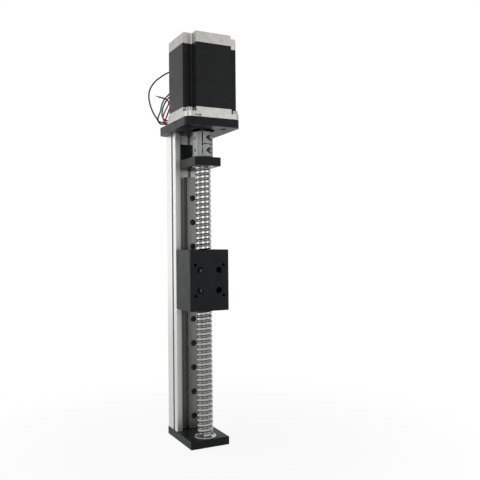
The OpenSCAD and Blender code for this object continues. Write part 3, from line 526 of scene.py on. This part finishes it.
ROUTES = {
    "black": [(-6.5, 30.5, 59), (-6.5, 33, 59), (-7.8, 36.2, 59), (-11.5, 38.2, 59),
              (-16.5, 38.5, 58.6), (-21.5, 38.5, 57), (-26.5, 38.5, 54), (-31, 38.5, 50.5),
              (-35.2, 38.5, 47), (-38.7, 38.5, 42.5), (-41.3, 38.5, 38), (-42.6, 38.5, 33),
              (-42.6, 38.5, 27.5), (-41.6, 38.5, 22.5), (-39.8, 38.6, 17.4), (-37.2, 39, 12.6),
              (-33.8, 39.8, 8.4), (-31, 41.4, 4.9), (-27.4, 43.8, 4), (-23.4, 46.4, 4.8),
              (-18.2, 47.4, 4.8), (-13.2, 47.4, 4.8)],
    "green": [(-3.5, 30.5, 59), (-3.5, 33, 59), (-4.8, 36.2, 56.6), (-9, 37.6, 50),
              (-14.8, 38, 42.4), (-20.8, 38, 34.7), (-25.2, 38, 30), (-28.2, 38, 25),
              (-29.6, 38.4, 20.2), (-30.2, 39.2, 16), (-31.4, 40.6, 12.2), (-31.8, 42.6, 8.8),
              (-30, 44.8, 6.9), (-26, 46.6, 6.5), (-19.6, 47.4, 6.5), (-13.2, 47.4, 6.5)],
    "red": [(-0.5, 30.5, 59), (-0.5, 33, 59), (-1.4, 35.8, 56.5), (-3.2, 37, 51.5), (-6, 37.5, 46),
            (-9, 37.5, 40.5), (-12.5, 37.8, 35), (-16, 38, 29.5), (-19, 38, 23.5),
            (-21.4, 38, 17.5), (-23.4, 38.6, 11.8), (-24.4, 40.2, 7.4), (-22.8, 43, 3.9),
            (-18.4, 46.4, 3.1), (-13.2, 47.4, 3.1)],
    "red_end": [(-13.2, 31, 1.4), (-17.6, 31, 1.4), (-22, 31, 1.5), (-26, 31.4, 2.4),
                (-28.8, 32.4, 5), (-29.6, 33, 9), (-28.2, 33.2, 13.6), (-26, 33.2, 18),
                (-23.9, 33.2, 22), (-23.2, 33.2, 25), (-25.2, 33.2, 27.3), (-29, 33.2, 28.6),
                (-34.4, 33.2, 29.6)],
    "blue": [(2.5, 30.5, 59), (2.5, 32.8, 58.8), (1.8, 35.2, 55), (-2, 35.6, 48.5),
             (-7, 35.6, 43.2), (-12, 35.6, 39.2), (-17, 35.6, 35), (-21.7, 35.6, 30.8),
             (-25.4, 35.6, 26.3), (-28, 35.6, 21.3), (-29.2, 36.2, 16.5), (-28.8, 38.2, 12.5),
             (-27, 41, 10.2), (-24, 44.2, 9.2), (-18.6, 47, 8.3), (-13.2, 47.4, 8.2)],
}
HANK_LEFT, HANK_RIGHT = -8.0, 16.0   # centres of the folds at both ends
HANK_Y = 39.2
HANK_R = 8.2                    # outermost fold's centre line
HANK_PITCH = 1.65               # from one fold to the next inside it
HANK_LAYER = 1.7                # from one layer down to the next
FOLD_POINTS = 8
RUN_POINTS = 4
CURVE_STEPS = 6                 # steps of a lead's curve from point to point
END_CLEAR = 1.0                 # least distance from a lead's end to the point before
TIP_LEN = 4.2                   # bare tip
TIP_INSIDE = 1.0                # its part inside the insulation
TIP_SHARE = 0.3                 # its radius beside the lead's diameter


def fold(centre_x, r0, r1, z0, z1, right):
    """Points round one end of the hank, from radius r0 to r1."""
    points = []
    for i in range(1, FOLD_POINTS + 1):
        t = i / FOLD_POINTS
        r = r0 + (r1 - r0) * t
        a = math.radians(90 - 180 * t if right else -90 - 180 * t)
        points.append((centre_x + r * math.cos(a), HANK_Y + r * math.sin(a), z0 + (z1 - z0) * t))
    return points


def run_to(points, far):
    """Adds a straight run of the hank, up to a far point."""
    near = points[-1]
    for i in range(1, RUN_POINTS):
        points.append(tuple(p + (q - p) * i / RUN_POINTS for p, q in zip(near, far)))
    points.append(far)


def wound(z, half_turns, inward):
    """A lead's part in the hank, from where it runs in at height z. Each turn
    lies inside the one before, or a layer below it."""
    r = HANK_R
    points = [(HANK_LEFT, HANK_Y + r, z)]
    for half in range(half_turns):
        if half % 2 == 0:
            run_to(points, (HANK_RIGHT, HANK_Y + r, z))
            points += fold(HANK_RIGHT, r, r, z, z, True)
            continue
        run_to(points, (HANK_LEFT, HANK_Y - r, z))
        next_r = r - HANK_PITCH if inward else r
        next_z = z if inward else z - HANK_LAYER
        points += fold(HANK_LEFT, r, next_r, z, next_z, False)
        r, z = next_r, next_z
    return points


def smooth(points, n):
    """A fine line through the points, each span a cubic in n steps."""
    p = [Vector(q) for q in points]
    fine = []
    for i in range(len(p) - 1):
        before = p[i - 1] if i else p[0] * 2 - p[1]
        after = p[i + 2] if i + 2 < len(p) else p[-1] * 2 - p[-2]
        for k in range(n):
            t = k / n
            fine.append(0.5 * (2 * p[i] + (p[i + 1] - before) * t
                               + (2 * before - 5 * p[i] + 4 * p[i + 1] - after) * t * t
                               + (3 * p[i] - before - 3 * p[i + 1] + after) * t ** 3))
    return fine + [p[-1]]


def cut_to(points, length):
    """The points up to a given length along their smooth line."""
    fine = smooth(points, CURVE_STEPS)
    total = 0.0
    for i in range(1, len(fine)):
        step = (fine[i] - fine[i - 1]).length
        if total + step >= length:
            end = fine[i - 1].lerp(fine[i], (length - total) / step)
            kept = points[:(i - 1) // CURVE_STEPS + 1]
            if (Vector(kept[-1]) - end).length < END_CLEAR and len(kept) > 2:
                kept = kept[:-1]
            return kept + [tuple(end)]
        total += step
    return list(points)


def in_place(point):
    """A lead's point in metres, in the frame."""
    x, y, z = point
    return x * MM, y * MM, z * MM + PLATE_TOP


def lead_curve(name, points, diameter, material):
    """One open spline through the points, with a round section."""
    data = bpy.data.curves.new(name, "CURVE")
    data.dimensions = "3D"
    data.bevel_depth = diameter / 2
    data.bevel_resolution = 3
    data.resolution_u = CURVE_STEPS
    data.use_fill_caps = True
    spline = data.splines.new("BEZIER")
    spline.bezier_points.add(len(points) - 1)
    world = [Vector(in_place(point)) for point in points]
    for i, point in enumerate(spline.bezier_points):
        point.co = world[i]
        before = world[i - 1] if i else world[0] * 2 - world[1]
        after = world[i + 1] if i + 1 < len(world) else world[-1] * 2 - world[-2]
        slope = (after - before) / 6
        point.handle_left_type = point.handle_right_type = "FREE"
        point.handle_left = world[i] - slope
        point.handle_right = world[i] + slope
    piece = bpy.data.objects.new(name, data)
    bpy.context.scene.collection.objects.link(piece)
    data.materials.append(material)
    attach(piece, "base")
    return piece


class MODULE_OT_leads(bpy.types.Operator):
    """The motor's four leads, folded in a hank behind the motor"""
    bl_idname = "module.leads"
    bl_label = "Leads"

    def execute(self, context):
        leads = context.scene.module_leads
        finish = context.scene.module_finish
        d = leads.diameter
        sheath = {
            "black": moulded("black_insulation", (0.02, 0.02, 0.022), 0.42),
            "green": moulded("green_insulation", finish.green_colour, 0.42),
            "red": moulded("red_insulation", finish.red_colour, 0.42),
            "blue": moulded("blue_insulation", finish.blue_colour, 0.42),
        }
        total = leads.length / MM
        for colour in ("black", "green", "blue"):
            route = ROUTES[colour]
            points = cut_to(route + wound(route[-1][2], 6, True), total)
            piece = lead_curve(colour + "_lead", points, d, sheath[colour])
            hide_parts("lead_" + colour, "lead_hank")
            ties = [bpy.data.objects["lead_tie"]] if colour == "black" else []
            self.declare(piece, points, d, ties)
        self.red_lead(d, sheath["red"])
        return {"FINISHED"}

    def red_lead(self, d, material):
        """Nearly twice round the hank, and out to its bare tip."""
        points = ROUTES["red"] + wound(ROUTES["red"][-1][2], 3, False)
        run_to(points, (HANK_LEFT, HANK_Y - HANK_R, points[-1][2]))
        points += ROUTES["red_end"]
        piece = lead_curve("red_lead", points, d, material)
        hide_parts("lead_red", "lead_red_end", "lead_hank")
        self.declare(piece, points, d, [self.bare_tip(points, d)])

    def bare_tip(self, points, d):
        """The tinned strands at the stripped end of the red lead."""
        nothing_selected()
        end = Vector(points[-1])
        way = (end - Vector(points[-2])).normalized()
        bpy.ops.mesh.primitive_cylinder_add(
            vertices=16, radius=TIP_SHARE * d, depth=TIP_LEN * MM,
            location=in_place(end + way * (TIP_LEN / 2 - TIP_INSIDE)),
            rotation=way.to_track_quat("Z", "Y").to_euler())
        return finished(bpy.context.object, "red_lead_tip", "base", tinned_strands())

    def declare(self, piece, points, d, pieces):
        """Takes the lead, its points, its diameter and its pieces, and does nothing with them."""


# ------------------------------------------------------------------ screw

BEARING_W = 7 * MM              # width of the screw's bearings
JOURNAL_R = 4 * MM
SHOULDER_R = 5.5 * MM
SHOULDER_LEN = 1 * MM           # from a bearing to the thread
SHOULDER_IN = 0.05 * MM         # how far a shoulder runs into the thread
END_EDGE = 0.5 * MM             # broken edge at a journal's tip
TURNED_SIDES = 48
GROOVE_FACETS = 8


class MODULE_OT_screw(bpy.types.Operator):
    """The ball screw with its helical groove and turned journals"""
    bl_idname = "module.screw"
    bl_label = "Ball screw"

    def execute(self, context):
        s = context.scene.module_screw
        radius = (SCREW_HIGH[0] - SCREW_LOW[0]) / 2
        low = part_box("screw_bearing_inner_rings")[0][2] + BEARING_W
        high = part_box("screw_spacer")[0][2] - BEARING_W
        thread = self.thread(s, radius, low + SHOULDER_LEN, high - SHOULDER_LEN)
        ends = [self.journal(SCREW_LOW[2], low, 1), self.journal(SCREW_HIGH[2], high, -1)]
        nothing_selected()
        for o in [*ends, thread]:
            o.select_set(True)
        context.view_layer.objects.active = thread
        bpy.ops.object.join()
        material = thread_steel(radius, s.groove_depth)
        finished(thread, "threaded_screw", "spindle", material)
        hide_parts("ball_screw")
        return {"FINISHED"}

    def journal(self, tip, bearing, up):
        """A turned end from its tip to the thread, which lies up or down."""
        inner = bearing + up * (SHOULDER_LEN + SHOULDER_IN)
        steps = [(tip, JOURNAL_R - END_EDGE), (tip + up * END_EDGE, JOURNAL_R), (bearing, JOURNAL_R),
                 (bearing, SHOULDER_R), (inner, SHOULDER_R)]
        return turned(steps[::up], TURNED_SIDES)

    def thread(self, s, radius, low, high):
        """One groove outline, carried round the axis and cut off at both ends."""
        nothing_selected()
        half = math.sqrt(max(0, s.groove_radius ** 2 - (s.groove_radius - s.groove_depth) ** 2))
        centre_r = radius + s.groove_radius - s.groove_depth
        outline = [(radius, 0)]
        for i in range(GROOVE_FACETS + 1):
            a = math.asin(half / s.groove_radius) * (-1 + 2 * i / GROOVE_FACETS)
            outline.append((centre_r - s.groove_radius * math.cos(a),
                            s.lead / 2 + s.groove_radius * math.sin(a)))
        outline.append((radius, s.lead))
        start = low - 1.5 * s.lead      # runs past both ends before it is cut
        bpy.ops.mesh.primitive_plane_add(size=MM, location=(0, 0, 0))
        piece = bpy.context.object
        bpy.ops.object.mode_set(mode="EDIT")
        bpy.ops.mesh.select_all(action="SELECT")
        bpy.ops.mesh.merge(type="CENTER")
        at = Vector((0, 0, 0))
        for i, (r, z) in enumerate(outline):
            to = Vector((r, 0, start + z))
            if i == 0:
                bpy.ops.transform.translate(value=to - at)
            else:
                bpy.ops.mesh.extrude_region_move(TRANSFORM_OT_translate={"value": to - at})
            at = to
        bpy.ops.object.mode_set(mode="OBJECT")
        turn = piece.modifiers.new("turns", "SCREW")
        turn.axis = "Z"
        turn.angle = 2 * math.pi
        turn.screw_offset = s.lead
        turn.iterations = int((high - low) / s.lead) + 4
        turn.steps = turn.render_steps = s.steps
        turn.use_merge_vertices = True
        turn.merge_threshold = 1e-6
        turn.use_smooth_shade = True
        apply_modifiers(piece)
        bpy.ops.object.mode_set(mode="EDIT")
        bpy.ops.mesh.select_all(action="SELECT")
        bpy.ops.mesh.remove_doubles(threshold=2e-6)
        for z, up in ((low, True), (high, False)):
            bpy.ops.mesh.select_all(action="SELECT")
            bpy.ops.mesh.bisect(plane_co=(0, 0, z), plane_no=(0, 0, 1), use_fill=True,
                                clear_inner=up, clear_outer=not up)
        bpy.ops.mesh.select_all(action="SELECT")
        bpy.ops.mesh.normals_make_consistent(inside=False)
        bpy.ops.object.mode_set(mode="OBJECT")
        bpy.ops.object.shade_smooth_by_angle(angle=math.radians(35))
        return piece


# ------------------------------------------------------------------ solid pieces

def coat(material, *nodes):
    """Gives solid pieces a finish."""
    for node in nodes:
        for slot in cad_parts[node].material_slots:
            slot.material = material


class MODULE_OT_base_finish(bpy.types.Operator):
    """Finishes of the profile, plates, block and guide rail"""
    bl_idname = "module.base_finish"
    bl_label = "Base finishes"

    def execute(self, context):
        finish = context.scene.module_finish
        side_gap = 0.2 * MM         # the bearing block's clearance in the channel
        channel_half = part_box("bearing_block")[1][0] + side_gap
        channel_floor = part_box("guide_rail")[1][1]
        coat(clear_anodised(finish.profile_colour, channel_half, channel_floor), "base_profile")
        coat(black_anodised(finish.block_colour), "end_plate", "motor_plate", "bearing_block",
             "carriage_block")
        rail_low, rail_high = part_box("guide_rail")
        coat(rail_steel((rail_high[0] - rail_low[0]) / 2), "guide_rail")
        return {"FINISHED"}


class MODULE_OT_motor_finish(bpy.types.Operator):
    """Finishes of the motor"""
    bl_idname = "module.motor_finish"
    bl_label = "Motor finishes"

    def execute(self, context):
        finish = context.scene.module_finish
        coat(cast_cap(finish.casting_colour), "motor_flange", "motor_rear_cap")
        coat(stator_paint(finish.stator_colour), "motor_stator")
        coat(copper_wire(), "motor_windings")
        coat(rotor_iron(), "motor_rotor")
        return {"FINISHED"}


class MODULE_OT_drive_finish(bpy.types.Operator):
    """Finishes of the coupling, bearings, nut and guide block"""
    bl_idname = "module.drive_finish"
    bl_label = "Drive finishes"

    def execute(self, context):
        finish = context.scene.module_finish
        coat(grey_anodised(finish.coupling_colour), "shaft_coupling")
        coat(ground_steel(), "screw_bearing_outer_rings", "screw_bearing_inner_rings",
             "screw_bearing_balls", "motor_bearing_outer_rings", "motor_bearing_inner_rings",
             "motor_bearing_balls", "screw_spacer", "guide_block", "guide_block_balls")
        # the ball nut's steel is made nearly black as painted shade inside the carriage's access
        # holes; the motor shaft shares it
        coat(ground_steel("nut_steel_painted_shade", (0.075, 0.075, 0.073), 0.4), "ball_nut", "motor_shaft")
        coat(moulded("green_end_caps", (0.03, 0.16, 0.11), 0.45), "guide_block_end_caps")
        coat(moulded("white_wipers", (0.78, 0.78, 0.76), 0.5), "ball_nut_wipers")
        coat(moulded("black_rubber", (0.02, 0.02, 0.02), 0.6), "guide_block_seals", "lead_grommet")
        coat(moulded("black_nylon", (0.025, 0.025, 0.025), 0.4), "lead_tie")
        return {"FINISHED"}


class MODULE_OT_screw_finish(bpy.types.Operator):
    """Finishes of the screws and nuts"""
    bl_idname = "module.screw_finish"
    bl_label = "Fastener finishes"

    def execute(self, context):
        coat(zinc_steel(), "rail_nuts", "bearing_block_nut", "screw_bearing_shields",
             "guide_block_cap_screws")
        coat(ground_steel("screw_heads", (0.27, 0.27, 0.26), 0.3, (700, 700, 700)), "motor_screws",
             "motor_tie_screws")
        coat(black_steel(), "rail_screws", "end_plate_screws", "bearing_block_screws",
             "motor_plate_screws", "coupling_screws", "guide_block_screws", "ball_nut_screws")
        return {"FINISHED"}


STEPS = (MODULE_OT_stage, MODULE_OT_leads, MODULE_OT_screw, MODULE_OT_base_finish,
         MODULE_OT_motor_finish, MODULE_OT_drive_finish, MODULE_OT_screw_finish)
SETTINGS = {
    "module_stage": StageSettings, "module_screw": ScrewSettings,
    "module_leads": LeadSettings, "module_finish": FinishSettings,
}


class MODULE_PT_panel(bpy.types.Panel):
    """Lists the module's settings and steps"""
    bl_label = "Linear module"
    bl_idname = "MODULE_PT_panel"
    bl_space_type = "VIEW_3D"
    bl_region_type = "UI"
    bl_category = "Linear module"

    def draw(self, context):
        for group, settings in SETTINGS.items():
            box = self.layout.box()
            for name in settings.__annotations__:
                box.prop(getattr(context.scene, group), name)
        for step in STEPS:
            self.layout.operator(step.bl_idname)


CLASSES = (*SETTINGS.values(), *STEPS, MODULE_PT_panel)


def register():
    for cls in CLASSES:
        bpy.utils.register_class(cls)
    for group, settings in SETTINGS.items():
        setattr(bpy.types.Scene, group, PointerProperty(type=settings))


def unregister():
    for group in SETTINGS:
        delattr(bpy.types.Scene, group)
    for cls in reversed(CLASSES):
        bpy.utils.unregister_class(cls)


def main():
    register()
    bpy.ops.module.stage()
    bpy.ops.module.leads()
    bpy.ops.module.screw()
    bpy.ops.module.base_finish()
    bpy.ops.module.motor_finish()
    bpy.ops.module.drive_finish()
    bpy.ops.module.screw_finish()


if __name__ == "__main__":
    main()
